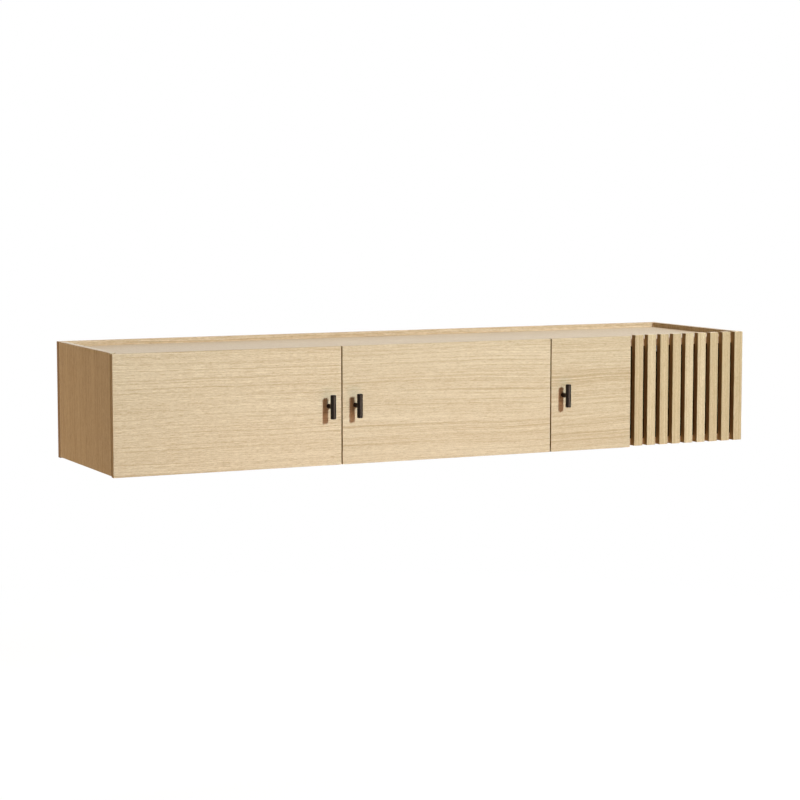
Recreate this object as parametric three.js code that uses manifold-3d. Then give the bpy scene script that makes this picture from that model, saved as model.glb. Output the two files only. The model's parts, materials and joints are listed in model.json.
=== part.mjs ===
// Floating media console: a wall-hung cabinet with three flush doors, a row of upright
// slats at its right-hand end and a shallow tray for a top.
// Millimetres. +X runs to the right, +Y towards the wall, +Z up. The origin is the
// middle of the back panel's rear face, which lies on the wall.
import * as THREE from 'three';
import { mergeVertices } from 'three/addons/utils/BufferGeometryUtils.js';
import Module from 'manifold-3d';

// Carcass
const WIDTH = 1800;
const DEPTH = 450; // door fronts to wall
const HEIGHT = 300;
const BAYS = 3;
const PANEL_THICK = 16; // sides, dividers and back
const SHELF_THICK = 18; // top and bottom
const RIM_HEIGHT = 13; // rim above the tray's floor
const BOTTOM_REVEAL = 2.5; // carcass underside above the doors' lower edges
const TOP_REVEAL = 2; // rim above the doors' upper edges
const STILE_DEPTH = 90; // upright behind the right door's hinges
const SEAT = 0.3; // gap between two pieces that rest on each other
const OVERRUN = 5; // how far a cutting body runs past the face it cuts

// Doors and slats
const DOOR_THICK = 16;
const DOOR_GAP = 3; // between two doors
const DOOR_BACK_GAP = 2; // behind a closed door
const SLAT_COUNT = 9;
const SLAT_WIDTH = 26;
const SLAT_GAP = 13.6;

// T-bar knobs
const BAR_LENGTH = 60.6;
const BAR_DIA = 14.4;
const BAR_STAND = 28.5; // door front to the bar's axis
const BAR_EDGE = 0.8; // chamfer at the bar's ends
const STEM_DIA = 11.6;
const SPIGOT_DIA = 5; // end of the stem that is held in the bar
const SPIGOT_GRIP = 3; // how far the spigot reaches past the saddle
const KNOB_INSET = 35; // door's free edge to the knob's axis
const SCREW_DIA = 4;
const SCREW_GRIP = 12; // thread in the stem
const SCREW_HEAD_DIA = 8.5;
const SCREW_HEAD_HEIGHT = 2.4;

// Concealed hinges, two to a door
const HINGE_FROM_END = 70; // door's end to the hinge's middle
const BORE_DIA = 35;
const BORE_DEPTH = 13;
const BORE_EDGE = 3; // door's hinge edge to the bore
const PIVOT_INSET = 3; // bore's wall to the pivot's axis
const PIVOT_LIFT = 3; // bore's floor to the pivot's axis
const CUP_WALL = 0.8;
const FLANGE_THICK = 1;
const FLANGE_RIM = 2; // flange beyond the bore
const WING_LENGTH = 58;
const WING_WIDTH = 14;
const WING_HOLE_DIA = 4;
const WING_HOLE_PITCH = 48;
const EAR_GRIP = 1.9; // pin held in each ear
const EAR_END = 0.7; // ear beyond the pin's end
const EAR_MARGIN = 1.2; // ear around the pin's hole
const PIN_DIA = 2;
const PIN_PLAY = 0.1; // radial play of the pin
const EYE_WALL = 1;
const ARM_THICK = 2.4;
const ARM_WIDTH = 8;
const ARM_PLAY = 0.6; // between the arm and each ear
const ARM_REACH = 60; // arm behind the carcass's front edge
const PLATE_THICK = 2.5; // plate of a full-overlay hinge
const PLATE_SETBACK = 10; // carcass's front edge to the plate
const PLATE_LENGTH = 52;
const PLATE_HEIGHT = 30;
const STUD_DIA = 4.6;
const STUD_HEAD_DIA = 8;
const STUD_HEAD_HEIGHT = 1.4;
const STUD_FROM_END = 14; // arm's rear end to the stud

// Cable holes
const CABLE_HOLE_DIA = 60;
const CABLE_HOLE_RISE = 45; // bay's floor to the hole's middle
const GROMMET_WALL = 2;
const GROMMET_LIP = 4; // lip beyond the hole
const GROMMET_LIP_THICK = 2;

// Cabinet hangers and their wall plates
const HANGER_WIDTH = 16;
const HANGER_DEPTH = 45;
const HANGER_HEIGHT = 50;
const HOOK_WIDTH = 8;
const HOOK_THICK = 4; // height of the bar that goes through the back
const HOOK_LIP = 1.9;
const HOOK_DROP = 8; // lip below the bar
const HOOK_FROM_TOP = 22; // hanger's top to the hook
const RAIL_THICK = 2; // sheet of the wall plate
const RAIL_WIDTH = 60;
const RAIL_UPPER = 14; // stepped part that the hook hangs on
const RAIL_LOWER = 26; // part that is screwed to the wall
const RAIL_HOLE_DIA = 6;
const RAIL_HOLE_PITCH = 36;
const RECESS_MARGIN = 1.5; // recess and slot around what they hold

// Roundness: sides of a large, a middling and a small round
const ROUND_SIDES = 28;
const KNOB_SIDES = 24;
const PIN_SIDES = 12;

// Planes that several pieces share
const LEFT = -WIDTH / 2;
const RIGHT = WIDTH / 2;
const TOP = HEIGHT / 2;
const BOTTOM = -HEIGHT / 2;
const FRONT = -DEPTH;
const CARCASS_FRONT = FRONT + DOOR_THICK + DOOR_BACK_GAP;
const BACK_FRONT = -PANEL_THICK;
const TRAY = TOP - RIM_HEIGHT;
const SHELF_UNDERSIDE = TRAY - SHELF_THICK;
const CARCASS_BOTTOM = BOTTOM + BOTTOM_REVEAL;
const DOOR_HEIGHT = HEIGHT - TOP_REVEAL;
const DOOR_MIDDLE = BOTTOM + DOOR_HEIGHT / 2;
const FLOOR = CARCASS_BOTTOM + SHELF_THICK;
const CABLE_HOLE_Z = FLOOR + CABLE_HOLE_RISE;
const BAY_PITCH = WIDTH / BAYS;
const SLAT_PITCH = SLAT_WIDTH + SLAT_GAP;
const FIRST_SLAT = RIGHT - SLAT_WIDTH - (SLAT_COUNT - 1) * SLAT_PITCH;
const STILE_RIGHT = FIRST_SLAT - SLAT_GAP;

// Places in a hinge: "in" counts from the door's hinge edge, "deep" from its front
const BORE_FLOOR = DOOR_THICK - BORE_DEPTH;
const BORE_IN = BORE_EDGE + BORE_DIA / 2;
const PIVOT_IN = BORE_EDGE + PIVOT_INSET;
const PIVOT_DEEP = BORE_FLOOR + PIVOT_LIFT;
const EYE_RADIUS = PIN_DIA / 2 + PIN_PLAY + EYE_WALL;
const EAR_START = ARM_WIDTH / 2 + ARM_PLAY;
const ARM_IN = PANEL_THICK + SEAT + PLATE_THICK + SEAT;
const FULL_OVERLAY = PANEL_THICK;
const HALF_OVERLAY = (PANEL_THICK - DOOR_GAP) / 2;

// Colours
const OAK = 0xd6be96;
const OAK_INSIDE = 0xcbb389;
const TRAY_OAK = 0xd5c6b2;
const BLACK = 0x2a2423;
const NICKEL = 0xb9bbbd;
const ZINC = 0xa9adb1;

const wasm = await Module();
wasm.setup();

const wood = (color) => new THREE.MeshStandardMaterial({ color, roughness: 0.6, metalness: 0 });
const steel = (color) => new THREE.MeshStandardMaterial({ color, roughness: 0.35, metalness: 1 });
const black = () => new THREE.MeshStandardMaterial({ color: BLACK, roughness: 0.45, metalness: 0.6 });
const plastic = () => new THREE.MeshStandardMaterial({ color: BLACK, roughness: 0.55, metalness: 0 });

// A closed mesh as a solid: only places are kept, and a pole's flat triangles are dropped.
function toSolid(geometry) {
  const bare = new THREE.BufferGeometry();
  bare.setAttribute('position', geometry.getAttribute('position'));
  bare.setIndex(geometry.getIndex());
  const merged = mergeVertices(bare);
  const corners = merged.getIndex().array;
  const kept = [];
  for (let i = 0; i < corners.length; i += 3) {
    const [a, b, c] = corners.slice(i, i + 3);
    if (a !== b && b !== c && c !== a) kept.push(a, b, c);
  }
  const vertProperties = Float32Array.from(merged.getAttribute('position').array);
  const triVerts = Uint32Array.from(kept);
  return new wasm.Manifold(new wasm.Mesh({ numProp: 3, vertProperties, triVerts }));
}

function toGeometry(solid) {
  const { vertProperties, triVerts } = solid.getMesh();
  const geometry = new THREE.BufferGeometry();
  geometry.setAttribute('position', new THREE.BufferAttribute(vertProperties, 3));
  geometry.setIndex(new THREE.BufferAttribute(triVerts, 1));
  geometry.computeVertexNormals();
  return geometry;
}

// A block between two values on each axis, given in either order.
function block([x0, x1], [y0, y1], [z0, z1]) {
  const geometry = new THREE.BoxGeometry(Math.abs(x1 - x0), Math.abs(y1 - y0), Math.abs(z1 - z0));
  geometry.translate((x0 + x1) / 2, (y0 + y1) / 2, (z0 + z1) / 2);
  return geometry;
}

// Round rods along each axis, between two values on it, about the given centre.
function rodY(dia, [y0, y1], sides, x = 0, z = 0) {
  const geometry = new THREE.CylinderGeometry(dia / 2, dia / 2, Math.abs(y1 - y0), sides);
  geometry.translate(x, (y0 + y1) / 2, z);
  return geometry;
}

function rodZ(dia, [z0, z1], sides, x = 0, y = 0) {
  const geometry = new THREE.CylinderGeometry(dia / 2, dia / 2, Math.abs(z1 - z0), sides);
  geometry.rotateX(Math.PI / 2);
  geometry.translate(x, y, (z0 + z1) / 2);
  return geometry;
}

function rodX(dia, [x0, x1], sides, y = 0, z = 0) {
  const geometry = new THREE.CylinderGeometry(dia / 2, dia / 2, Math.abs(x1 - x0), sides);
  geometry.rotateZ(Math.PI / 2);
  geometry.translate((x0 + x1) / 2, y, z);
  return geometry;
}

function join(...geometries) {
  return geometries.map(toSolid).reduce((whole, solid) => whole.add(solid));
}

function piece(name, shape, material, x = 0, y = 0, z = 0) {
  const geometry = shape.isBufferGeometry ? shape : toGeometry(shape);
  const mesh = new THREE.Mesh(geometry, material);
  mesh.name = name;
  mesh.position.set(x, y, z);
  return mesh;
}

// A plain board, centred on its own place.
function board(name, [x0, x1], [y0, y1], [z0, z1], material) {
  const geometry = new THREE.BoxGeometry(x1 - x0, y1 - y0, z1 - z0);
  return piece(name, geometry, material, (x0 + x1) / 2, (y0 + y1) / 2, (z0 + z1) / 2);
}

// Where the hook and its wall plate lie, on the height and depth axes.
const HANGER_TOP = SHELF_UNDERSIDE - SEAT;
const HOOK_TOP = HANGER_TOP - HOOK_FROM_TOP;
const HOOK_UNDERSIDE = HOOK_TOP - HOOK_THICK;
const HOOK_BACK = -SEAT;
const RAIL_TOP = HOOK_UNDERSIDE - SEAT;
const RAIL_STEP = RAIL_TOP - RAIL_UPPER;
const RAIL_UPPER_BACK = HOOK_BACK - HOOK_LIP - SEAT;
const RAIL_FRONT = RAIL_UPPER_BACK - RAIL_THICK;
const HANGER_X = RIGHT - PANEL_THICK - SEAT - HANGER_WIDTH / 2;
const RAIL_X = RIGHT - PANEL_THICK - RAIL_WIDTH / 2;

function makeCarcass() {
  const group = new THREE.Group();
  const between = [LEFT + PANEL_THICK + SEAT, RIGHT - PANEL_THICK - SEAT];
  const deep = [CARCASS_FRONT, BACK_FRONT - SEAT];
  const upright = [CARCASS_BOTTOM, TOP];
  const inside = [FLOOR + SEAT, SHELF_UNDERSIDE - SEAT];
  group.add(board('left_side_panel', [LEFT, LEFT + PANEL_THICK], deep, upright, wood(OAK)));
  group.add(board('right_side_panel', [RIGHT - PANEL_THICK, RIGHT], deep, upright, wood(OAK)));
  group.add(board('top_panel', between, deep, [SHELF_UNDERSIDE, TRAY], wood(TRAY_OAK)));
  group.add(board('bottom_panel', between, deep, [CARCASS_BOTTOM, FLOOR], wood(OAK)));
  for (let joint = 1; joint < BAYS; joint += 1) {
    const middle = LEFT + joint * BAY_PITCH;
    const across = [middle - PANEL_THICK / 2, middle + PANEL_THICK / 2];
    group.add(board(`divider_${joint}`, across, deep, inside, wood(OAK_INSIDE)));
  }
  const stile = [STILE_RIGHT - PANEL_THICK, STILE_RIGHT];
  const stileDeep = [CARCASS_FRONT, CARCASS_FRONT + STILE_DEPTH];
  group.add(board('hinge_stile', stile, stileDeep, inside, wood(OAK_INSIDE)));
  return group;
}

// The back panel, with its cable holes, the hooks' slots and the wall plates' recesses.
function makeBack() {
  const panel = block([LEFT, RIGHT], [BACK_FRONT, 0], [BOTTOM, TOP]);
  let solid = toSolid(panel);
  for (let bay = 0; bay < BAYS; bay += 1) {
    const x = LEFT + (bay + 0.5) * BAY_PITCH;
    const through = [BACK_FRONT - OVERRUN, OVERRUN];
    const hole = rodY(CABLE_HOLE_DIA, through, ROUND_SIDES, x, CABLE_HOLE_Z);
    solid = solid.subtract(toSolid(hole));
  }
  const high = [RAIL_STEP - RAIL_LOWER - RECESS_MARGIN, HOOK_TOP + RECESS_MARGIN];
  for (const side of [-1, 1]) {
    const half = RAIL_WIDTH / 2 + RECESS_MARGIN;
    const x = side * (RAIL_X - RECESS_MARGIN);
    const sunk = [RAIL_FRONT - RECESS_MARGIN, OVERRUN];
    const recess = block([x - half, x + half], sunk, high);
    const slotX = side * HANGER_X;
    const slotHalf = HOOK_WIDTH / 2 + RECESS_MARGIN;
    const slot = block(
      [slotX - slotHalf, slotX + slotHalf],
      [BACK_FRONT - OVERRUN, OVERRUN],
      [HOOK_UNDERSIDE - RECESS_MARGIN, HOOK_TOP + RECESS_MARGIN],
    );
    solid = solid.subtract(toSolid(recess)).subtract(toSolid(slot));
  }
  return piece('back_panel', solid, wood(OAK));
}

// A ring with a lip on the inner side, turned about the hole's axis.
function makeGrommet(bay) {
  const outer = CABLE_HOLE_DIA / 2 - SEAT;
  const inner = outer - GROMMET_WALL;
  const lip = CABLE_HOLE_DIA / 2 + GROMMET_LIP;
  const lipBack = BACK_FRONT - SEAT;
  const lipFront = lipBack - GROMMET_LIP_THICK;
  const profile = [
    new THREE.Vector2(inner, lipFront),
    new THREE.Vector2(lip, lipFront),
    new THREE.Vector2(lip, lipBack),
    new THREE.Vector2(outer, lipBack),
    new THREE.Vector2(outer, -SEAT),
    new THREE.Vector2(inner, -SEAT),
    new THREE.Vector2(inner, lipFront),
  ];
  const ring = toSolid(new THREE.LatheGeometry(profile, ROUND_SIDES));
  const x = LEFT + (bay - 0.5) * BAY_PITCH;
  return piece(`cable_grommet_${bay}`, ring, plastic(), x, 0, CABLE_HOLE_Z);
}

// A hanger in the upper rear corner, and the stepped wall plate that its hook hangs on.
function makeHanger(name, side) {
  const group = new THREE.Group();
  const half = HANGER_WIDTH / 2;
  const hookHalf = HOOK_WIDTH / 2;
  const bodyBack = BACK_FRONT - SEAT;
  const housing = block(
    [-half, half],
    [bodyBack - HANGER_DEPTH, bodyBack],
    [HANGER_TOP - HANGER_HEIGHT, HANGER_TOP],
  );
  const hook = block(
    [-hookHalf, hookHalf],
    [bodyBack - OVERRUN, HOOK_BACK],
    [HOOK_UNDERSIDE, HOOK_TOP],
  );
  const lip = block(
    [-hookHalf, hookHalf],
    [HOOK_BACK - HOOK_LIP, HOOK_BACK],
    [HOOK_UNDERSIDE - HOOK_DROP, HOOK_TOP],
  );
  group.add(piece(`${name}_hanger`, join(housing, hook, lip), steel(ZINC), side * HANGER_X));

  const across = [-RAIL_WIDTH / 2, RAIL_WIDTH / 2];
  const upper = block(across, [RAIL_FRONT, RAIL_UPPER_BACK], [RAIL_STEP, RAIL_TOP]);
  const step = block(across, [RAIL_FRONT, 0], [RAIL_STEP - RAIL_THICK, RAIL_STEP]);
  const lower = block(across, [-RAIL_THICK, 0], [RAIL_STEP - RAIL_LOWER, RAIL_STEP - RAIL_THICK]);
  let rail = join(upper, step, lower);
  for (const end of [-1, 1]) {
    const z = RAIL_STEP - RAIL_LOWER / 2 - RAIL_THICK / 2;
    const through = [-RAIL_THICK - OVERRUN, OVERRUN];
    const hole = rodY(RAIL_HOLE_DIA, through, PIN_SIDES, (end * RAIL_HOLE_PITCH) / 2, z);
    rail = rail.subtract(toSolid(hole));
  }
  group.add(piece(`${name}_wall_plate`, rail, steel(ZINC), side * RAIL_X));
  return group;
}

function makeSlats() {
  const group = new THREE.Group();
  for (let i = 0; i < SLAT_COUNT; i += 1) {
    const x = FIRST_SLAT + i * SLAT_PITCH;
    const deep = [FRONT, CARCASS_FRONT - SEAT];
    const upright = [CARCASS_BOTTOM, TOP];
    group.add(board(`slat_${i + 1}`, [x, x + SLAT_WIDTH], deep, upright, wood(OAK)));
  }
  return group;
}

// The door's fixed hinge pieces: a plate on the carcass and a gooseneck arm, held by the
// plate's headed stud. The arm's eye lies on the pivot's axis, inside the door's cup.
function makeHingeArm(name, hand, overlay) {
  const group = new THREE.Group();
  const x = (inset) => hand * (inset - PIVOT_IN);
  const y = (deep) => deep - PIVOT_DEEP;
  const carcass = DOOR_THICK + DOOR_BACK_GAP;
  const armOuter = ARM_IN + ARM_THICK;
  const half = ARM_WIDTH / 2;
  const armEnd = carcass + ARM_REACH;
  const eye = rodZ(2 * EYE_RADIUS, [-half, half], PIN_SIDES);
  const neck = block([0, x(armOuter)], [-ARM_THICK / 2, ARM_THICK / 2], [-half, half]);
  const shank = block([x(ARM_IN), x(armOuter)], [-ARM_THICK / 2, y(armEnd)], [-half, half]);
  const pinHole = rodZ(PIN_DIA + 2 * PIN_PLAY, [-half - OVERRUN, half + OVERRUN], PIN_SIDES);
  const studY = y(armEnd - STUD_FROM_END);
  const slot = rodX(STUD_DIA + 2 * SEAT, [x(ARM_IN - OVERRUN), x(armOuter + OVERRUN)], PIN_SIDES, studY);
  const arm = join(eye, neck, shank).subtract(toSolid(pinHole)).subtract(toSolid(slot));
  group.add(piece(`${name}_arm`, arm, steel(NICKEL)));

  const plateStart = carcass + PLATE_SETBACK;
  const plate = block(
    [x(overlay + SEAT), x(ARM_IN - SEAT)],
    [y(plateStart), y(plateStart + PLATE_LENGTH)],
    [-PLATE_HEIGHT / 2, PLATE_HEIGHT / 2],
  );
  const headFrom = armOuter + SEAT;
  const studSpan = [x(overlay + PLATE_THICK / 2), x(headFrom + STUD_HEAD_HEIGHT / 2)];
  const stud = rodX(STUD_DIA, studSpan, PIN_SIDES, studY);
  const head = rodX(STUD_HEAD_DIA, [x(headFrom), x(headFrom + STUD_HEAD_HEIGHT)], PIN_SIDES, studY);
  group.add(piece(`${name}_plate`, join(plate, stud, head), steel(NICKEL)));
  return group;
}

// The cup in the door: a turned shell with a clipped flange and two wings, open towards
// the hinge edge where the arm's eye turns, and two ears that hold the pin.
function makeCup(name, hand) {
  const group = new THREE.Group();
  const x = (inset) => hand * (inset - PIVOT_IN);
  const y = (deep) => deep - PIVOT_DEEP;
  const outer = BORE_DIA / 2 - SEAT;
  const inner = outer - CUP_WALL;
  const flange = BORE_DIA / 2 + FLANGE_RIM;
  const floor = y(BORE_FLOOR + SEAT);
  const seat = y(DOOR_THICK + SEAT);
  const rim = seat + FLANGE_THICK;
  const profile = [
    new THREE.Vector2(0, floor),
    new THREE.Vector2(outer, floor),
    new THREE.Vector2(outer, seat),
    new THREE.Vector2(flange, seat),
    new THREE.Vector2(flange, rim),
    new THREE.Vector2(inner, rim),
    new THREE.Vector2(inner, floor + CUP_WALL),
    new THREE.Vector2(0, floor + CUP_WALL),
  ];
  const shell = new THREE.LatheGeometry(profile, ROUND_SIDES);
  shell.translate(x(BORE_IN), 0, 0);
  const wing = block(
    [x(BORE_IN), x(BORE_IN + WING_WIDTH)],
    [seat, rim],
    [-WING_LENGTH / 2, WING_LENGTH / 2],
  );
  const mouth = rodY(2 * inner, [floor + CUP_WALL, rim + OVERRUN], ROUND_SIDES, x(BORE_IN));
  let cup = join(shell, wing).subtract(toSolid(mouth));

  const full = rodY(2 * outer, [floor, rim], ROUND_SIDES, x(BORE_IN));
  const earLength = EAR_GRIP + EAR_END;
  const earReach = PIVOT_IN + EYE_RADIUS + EAR_MARGIN;
  for (const side of [-1, 1]) {
    const ear = block(
      [x(0), x(earReach)],
      [floor, PIN_DIA / 2 + EAR_MARGIN],
      [side * EAR_START, side * (EAR_START + earLength)],
    );
    cup = cup.add(toSolid(ear).intersect(toSolid(full)));
    const hole = rodY(
      WING_HOLE_DIA,
      [seat - OVERRUN, rim + OVERRUN],
      PIN_SIDES,
      x(BORE_IN + WING_WIDTH / 2),
      (side * WING_HOLE_PITCH) / 2,
    );
    cup = cup.subtract(toSolid(hole));
  }
  const pinEnd = EAR_START + EAR_GRIP;
  const pinHole = rodZ(PIN_DIA + 2 * PIN_PLAY, [-pinEnd - PIN_PLAY, pinEnd + PIN_PLAY], PIN_SIDES);
  const window = block(
    [x(-OVERRUN), x(earReach)],
    [floor - OVERRUN, rim + OVERRUN],
    [-EAR_START, EAR_START],
  );
  const clip = block(
    [x(-OVERRUN - flange), x(BORE_EDGE + SEAT)],
    [seat, rim + OVERRUN],
    [-flange - OVERRUN, flange + OVERRUN],
  );
  cup = cup.subtract(toSolid(pinHole)).subtract(toSolid(window)).subtract(toSolid(clip));
  group.add(piece(`${name}_cup`, cup, steel(NICKEL)));
  group.add(piece(`${name}_pin`, rodZ(PIN_DIA, [-pinEnd, pinEnd], PIN_SIDES), steel(ZINC)));
  return group;
}

// A T-bar knob: the bar, the stem that it is pegged on and the screw from inside.
function makeKnob(name) {
  const group = new THREE.Group();
  const half = BAR_LENGTH / 2;
  const radius = BAR_DIA / 2;
  const profile = [
    new THREE.Vector2(0, -half),
    new THREE.Vector2(radius - BAR_EDGE, -half),
    new THREE.Vector2(radius, -half + BAR_EDGE),
    new THREE.Vector2(radius, half - BAR_EDGE),
    new THREE.Vector2(radius - BAR_EDGE, half),
    new THREE.Vector2(0, half),
  ];
  const turned = new THREE.LatheGeometry(profile, KNOB_SIDES);
  turned.rotateX(Math.PI / 2);
  turned.translate(0, -BAR_STAND, 0);
  const saddle = -BAR_STAND + radius + SEAT;
  const pegEnd = saddle - SEAT - SPIGOT_GRIP;
  const socket = rodY(SPIGOT_DIA + 2 * SEAT, [pegEnd - SEAT, 0], PIN_SIDES);
  group.add(piece(`${name}_bar`, toSolid(turned).subtract(toSolid(socket)), black()));

  const shaft = rodY(STEM_DIA, [-BAR_STAND, -SEAT], KNOB_SIDES);
  const around = rodZ(BAR_DIA + 2 * SEAT, [-half, half], KNOB_SIDES, 0, -BAR_STAND);
  const peg = rodY(SPIGOT_DIA, [pegEnd, -SEAT - SCREW_GRIP - OVERRUN], PIN_SIDES);
  const thread = rodY(SCREW_DIA + 2 * SEAT, [-SCREW_GRIP - 2 * SEAT, OVERRUN], PIN_SIDES);
  const stem = toSolid(shaft).subtract(toSolid(around)).add(toSolid(peg)).subtract(toSolid(thread));
  group.add(piece(`${name}_stem`, stem, black()));

  const headFrom = DOOR_THICK + SEAT;
  const headTo = headFrom + SCREW_HEAD_HEIGHT;
  const shank = rodY(SCREW_DIA, [-SCREW_GRIP, headFrom + SCREW_HEAD_HEIGHT / 2], PIN_SIDES);
  const head = rodY(SCREW_HEAD_DIA, [headFrom, headTo], PIN_SIDES);
  group.add(piece(`${name}_screw`, join(shank, head), steel(ZINC)));
  return group;
}

// A door and its hinges about the pivot's axis. hand is 1 where the door is hinged at
// its left edge and -1 at its right; overlay is how far the carcass face lies inside
// the door's hinge edge.
function makeDoor(name, left, right, hand, overlay) {
  const group = new THREE.Group();
  const width = right - left;
  const edge = hand > 0 ? left : right;
  group.position.set(edge + hand * PIVOT_IN, FRONT + PIVOT_DEEP, DOOR_MIDDLE);
  const x = (inset) => hand * (inset - PIVOT_IN);
  const y = (deep) => deep - PIVOT_DEEP;
  const half = DOOR_HEIGHT / 2;
  const hingeZ = half - HINGE_FROM_END;
  const knobX = x(width - KNOB_INSET);
  let leaf = toSolid(block([x(0), x(width)], [y(0), y(DOOR_THICK)], [-half, half]));
  const through = [y(-OVERRUN), y(DOOR_THICK + OVERRUN)];
  const hole = rodY(SCREW_DIA + 2 * SEAT, through, PIN_SIDES, knobX);
  leaf = leaf.subtract(toSolid(hole));
  for (const [place, z] of [['lower', -hingeZ], ['upper', hingeZ]]) {
    const sunk = [y(BORE_FLOOR), y(DOOR_THICK + OVERRUN)];
    const bore = rodY(BORE_DIA, sunk, ROUND_SIDES, x(BORE_IN), z);
    leaf = leaf.subtract(toSolid(bore));
    const cup = makeCup(`${name}_${place}_hinge`, hand);
    const arm = makeHingeArm(`${name}_${place}_hinge`, hand, overlay);
    cup.position.z = z;
    arm.position.z = z;
    group.add(cup, arm);
  }
  group.add(piece(`${name}_panel`, leaf, wood(OAK)));
  const knob = makeKnob(`${name}_knob`);
  knob.position.set(knobX, y(0), 0);
  group.add(knob);
  return group;
}

const mediaConsole = new THREE.Group();
mediaConsole.add(makeCarcass(), makeBack(), makeSlats());
for (let bay = 1; bay <= BAYS; bay += 1) {
  mediaConsole.add(makeGrommet(bay));
}
mediaConsole.add(makeHanger('left', -1), makeHanger('right', 1));
const firstJoint = LEFT + BAY_PITCH;
const secondJoint = LEFT + 2 * BAY_PITCH;
const halfGap = DOOR_GAP / 2;
mediaConsole.add(makeDoor('left_door', LEFT, firstJoint - halfGap, 1, FULL_OVERLAY));
mediaConsole.add(makeDoor('middle_door', firstJoint + halfGap, secondJoint - halfGap, -1, HALF_OVERLAY));
mediaConsole.add(makeDoor('right_door', secondJoint + halfGap, STILE_RIGHT, -1, FULL_OVERLAY));

export default mediaConsole;
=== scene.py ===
"""Floating media console: an oak wall cabinet with three doors, black T-bar knobs, upright
slats at its right-hand end and a sunk tray for a top.

Metres, +X to the right, +Y towards the wall, +Z up; the origin is on the wall face.
"""

import json
import math

import bmesh
import bpy
import numpy as np
from mathutils import Matrix, Vector


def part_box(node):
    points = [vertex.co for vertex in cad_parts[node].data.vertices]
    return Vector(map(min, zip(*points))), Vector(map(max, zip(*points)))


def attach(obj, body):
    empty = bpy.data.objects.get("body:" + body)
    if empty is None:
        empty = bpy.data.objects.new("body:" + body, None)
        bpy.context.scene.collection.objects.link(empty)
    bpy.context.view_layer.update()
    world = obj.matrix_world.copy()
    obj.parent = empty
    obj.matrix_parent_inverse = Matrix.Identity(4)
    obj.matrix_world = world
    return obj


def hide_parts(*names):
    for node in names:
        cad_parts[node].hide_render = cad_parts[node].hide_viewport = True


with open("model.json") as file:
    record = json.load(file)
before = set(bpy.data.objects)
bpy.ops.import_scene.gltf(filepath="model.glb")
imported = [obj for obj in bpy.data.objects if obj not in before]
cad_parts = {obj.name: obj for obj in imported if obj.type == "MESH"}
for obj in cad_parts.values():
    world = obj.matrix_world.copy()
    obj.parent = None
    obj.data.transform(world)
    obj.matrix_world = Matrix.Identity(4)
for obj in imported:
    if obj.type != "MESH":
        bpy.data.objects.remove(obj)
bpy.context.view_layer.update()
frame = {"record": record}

MM = 0.001

# Boards
BOARD_ARRIS = 0.7 * MM
SLAT_ARRIS = 1.0 * MM
ARRIS_STEPS = 3
JOINT_SHADE_WIDTH = 3 * MM

# Cutting and joining
CUT_OVERRUN = 4 * MM
CUTTER_ARRIS = 0.1 * MM
SHORTEST_EDGE = 0.001 * MM
DOUBLED = 0.0001 * MM
CRISP_ANGLE = 40

# Turned pieces
TURNED_SIDES = 64
SMALL_SIDES = 32
PIN_SIDES = 24

# Knobs
BAR_ROUND = 2.0 * MM
STEM_ROUND = 0.2 * MM
KNOB_SCREW_HOLE_RADIUS = 2.3 * MM
KNOB_SCREW_RADIUS = 2 * MM
KNOB_SCREW_HEAD_HEIGHT = 2.4 * MM
KNOB_SCREW_DRIVE = 4 * MM

# Screw heads: radius and height, and shares of the radius or the height
ADJUSTER_HEAD = (2.7 * MM, 1.1 * MM)
PLATE_SCREW_HEAD = (3.2 * MM, 1.3 * MM)
CUP_SCREW_HEAD = (3.3 * MM, 1.2 * MM)
HANGER_SCREW_HEAD = (4.2 * MM, 1.6 * MM)
DOME_NARROWING = 0.45
DOME_EDGE = 0.35
DRIVE_HALF_WIDTH = 0.14
DRIVE_HALF_LENGTH = 0.62
DRIVE_DEPTH = 0.45

# Hinges, as in the doors' solids
BORE_RADIUS = 17.5 * MM
BORE_DEPTH = 13 * MM
PIVOT_INSET = 3 * MM
SEAT = 0.3 * MM
CUP_WALL = 0.8 * MM
CUP_FILLET = 1.4 * MM
CUP_LIP = 0.5 * MM
SINK = 0.1 * MM  # how far a joined face lies inside the one that it joins
FLANGE_THICK = 1 * MM
FLANGE_RIM = 2 * MM
WING_WIDTH = 14 * MM
WING_SCREW_PITCH = 48 * MM
EAR_START = 4.6 * MM
EAR_LENGTH = 2.6 * MM
EAR_REACH = 3.3 * MM
EAR_LIFT = 2.2 * MM
PRESSED_ARRIS = 0.3 * MM
WINDOW_ARRIS = 0.5 * MM
PIN_HOLE_RADIUS = 1.1 * MM
PIN_ROUND = 0.3 * MM
EYE_RADIUS = 2.1 * MM
ARM_THICK = 2.4 * MM
ARM_BEND = 3 * MM
ADJUSTER_FROM_END = 36.4 * MM
PLATE_ARRIS = 0.6 * MM
PLATE_SCREW_INSET = 4.5 * MM
STUD_FROM_END = 14 * MM
STUD_RADIUS = 2.3 * MM
STUD_HEAD_RADIUS = 4 * MM
STUD_HEAD_HEIGHT = 1.4 * MM

# Hangers and wall plates
HANGER_DEPTH = 45 * MM
HANGER_ARRIS = 1.2 * MM
HANGER_SCREW_RISES = (0.3, 0.7)
BAND_ARRIS = 0.4 * MM
HOOK_HALF = 4 * MM
HOOK_FROM_TOP = 22 * MM
HOOK_THICK = 4 * MM
HOOK_LIP = 1.9 * MM
HOOK_DROP = 8 * MM
RAIL_THICK = 2 * MM
RAIL_UPPER = 14 * MM
RAIL_HOLE_RADIUS = 3 * MM
RAIL_HOLE_PITCH = 36 * MM
RECESS_MARGIN = 1.5 * MM
RECESS_RISE = 5.8 * MM
HOOK_SLOT_HEIGHT = 7 * MM

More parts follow.
